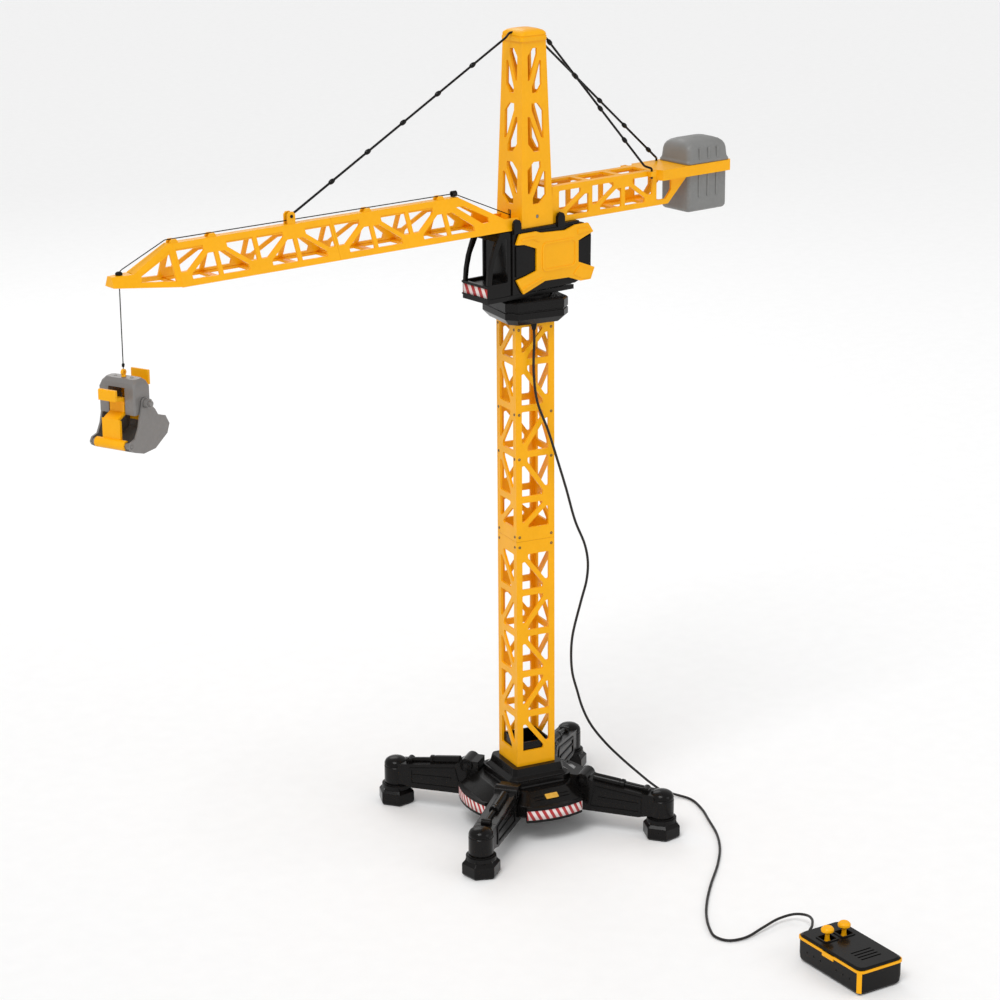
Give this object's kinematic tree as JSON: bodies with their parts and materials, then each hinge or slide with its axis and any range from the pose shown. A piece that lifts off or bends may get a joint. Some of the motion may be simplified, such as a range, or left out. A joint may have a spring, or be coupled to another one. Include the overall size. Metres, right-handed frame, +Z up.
{
  "type": "toy tower crane",
  "caption": "Toy tower crane: four-legged base, square lattice mast, slewing cab and jib, tipping bucket on a hoist string, wired two-stick handset.",
  "frame": {"origin": "centre of the object's footprint on the floor, without the control cord", "axes": "+Z up along the mast, jib pointing along -X, handset on the -Y side"},
  "size_m": [0.9072, 0.7899, 1],
  "materials": {
    "yellow_plastic": "satin moulded plastic",
    "black_plastic": "glossy moulded plastic",
    "grey_plastic": "satin moulded plastic",
    "silver_plastic": "metallic paint on plastic",
    "steel": "plain",
    "iron": "rough cast",
    "board": "coated board",
    "cable_sheath": "satin",
    "black_string": "woven"
  },
  "bodies": {
    "base": {"base_hub": "black_plastic", "base_cover": "black_plastic", "leg_rear": "black_plastic", "leg_left": "black_plastic", "leg_front": "black_plastic", "leg_right": "black_plastic", "foot_rear": "black_plastic", "foot_left": "black_plastic", "foot_front": "black_plastic", "foot_right": "black_plastic", "mast_lower_front": "yellow_plastic", "mast_lower_rear": "yellow_plastic", "mast_upper_front": "yellow_plastic", "mast_upper_rear": "yellow_plastic", "turntable_housing": "black_plastic", "slew_gear": "grey_plastic", "cord_gland": "black_plastic", "handset_bottom": "black_plastic", "handset_battery_door": "black_plastic", "handset_trim": "yellow_plastic", "handset_top": "black_plastic", "circuit_board": "board", "handset_gland": "black_plastic", "control_cord": "cable_sheath"},
    "slewing": {"cab_floor": "black_plastic", "cab_shell": "black_plastic", "cabin": "black_plastic", "cab_deck": "black_plastic", "cab_side_left": "yellow_plastic", "cab_side_right": "yellow_plastic", "slew_motor": "steel", "hoist_motor": "steel", "tower_head": "yellow_plastic", "head_cap": "yellow_plastic", "jib_inner": "yellow_plastic", "jib_outer": "yellow_plastic", "string_guide_root": "black_plastic", "string_guide_tip": "black_plastic", "hoist_string_run": "black_string", "front_stay": "black_string", "rear_stay_left": "black_string", "rear_stay_right": "black_string", "counter_jib": "yellow_plastic", "counterweight_box": "grey_plastic", "counterweight_lid": "grey_plastic", "counterweight_ballast": "iron"},
    "pinion": {"slew_pinion": "steel"},
    "drum": {"winch_drum": "grey_plastic"},
    "string": {"hoist_string_drop": "black_string"},
    "hanger": {"grab_eyelet": "yellow_plastic"},
    "grab": {"grab_housing": "silver_plastic", "bucket_pin_left": "silver_plastic", "bucket_pin_right": "silver_plastic"},
    "front_latch": {"latch_front": "yellow_plastic"},
    "rear_latch": {"latch_rear": "yellow_plastic"},
    "bucket": {"bucket_shell": "silver_plastic", "bucket_bar": "silver_plastic"},
    "left_stick": {"stick_left": "yellow_plastic"},
    "right_stick": {"stick_right": "yellow_plastic"}
  },
  "joints": [
    {"name": "slew", "type": "hinge", "parent": "base", "child": "slewing", "pos_m": [0.1445, 0.2245, 0.675], "axis": [0, 0, 1], "range_deg": [-175, 175]},
    {"name": "slew_pinion", "type": "hinge", "parent": "slewing", "child": "pinion", "pos_m": [0.1263, 0.2245, 0.675], "axis": [0, 0, 1], "range_deg": [-530, 530]},
    {"name": "string_swing", "type": "hinge", "parent": "slewing", "child": "string", "pos_m": [-0.4155, 0.2245, 0.772], "axis": [0, 1, 0], "range_deg": [-15, 15]},
    {"name": "hoist", "type": "slide", "parent": "string", "child": "hanger", "axis": [0, 0, -1], "range_m": [-0.07, 0.58], "deforming": ["hoist_string_drop"]},
    {"name": "winch_drum", "type": "hinge", "parent": "slewing", "child": "drum", "pos_m": [0.1445, 0.2245, 0.78], "axis": [0, 1, 0], "range_deg": [-590, 4830]},
    {"name": "grab_spin", "type": "hinge", "parent": "hanger", "child": "grab", "pos_m": [-0.4155, 0.2245, 0.675], "axis": [0, 0, 1], "continuous": true},
    {"name": "front_latch", "type": "hinge", "parent": "grab", "child": "front_latch", "pos_m": [-0.42577, 0.22056, 0.649], "axis": [-0.3584, 0.9336, 0], "range_deg": [0, 12], "stiffness_Nm_per_rad": 0.03, "springref_deg": -14.32},
    {"name": "rear_latch", "type": "hinge", "parent": "grab", "child": "rear_latch", "pos_m": [-0.40523, 0.22844, 0.655], "axis": [0.3584, -0.9336, 0], "range_deg": [0, 12], "stiffness_Nm_per_rad": 0.03, "springref_deg": -14.32},
    {"name": "bucket_tip", "type": "hinge", "parent": "grab", "child": "bucket", "pos_m": [-0.41363, 0.22522, 0.6483], "axis": [0.3584, -0.9336, 0], "range_deg": [0, 35]},
    {"name": "stick_left", "type": "hinge", "parent": "base", "child": "left_stick", "pos_m": [0.14637, -0.30879, 0.0275], "axis": [0.9934, -0.1149, 0], "range_deg": [-20, 20], "stiffness_Nm_per_rad": 0.02},
    {"name": "stick_right", "type": "hinge", "parent": "base", "child": "right_stick", "pos_m": [0.17021, -0.31155, 0.0275], "axis": [0.9934, -0.1149, 0], "range_deg": [-20, 20], "stiffness_Nm_per_rad": 0.02}
  ],
  "couplings": [
    {"joint": "slew_pinion", "follows": "slew", "ratio": 3},
    {"joint": "winch_drum", "follows": "hoist", "rad_per_m": 144.93}
  ]
}
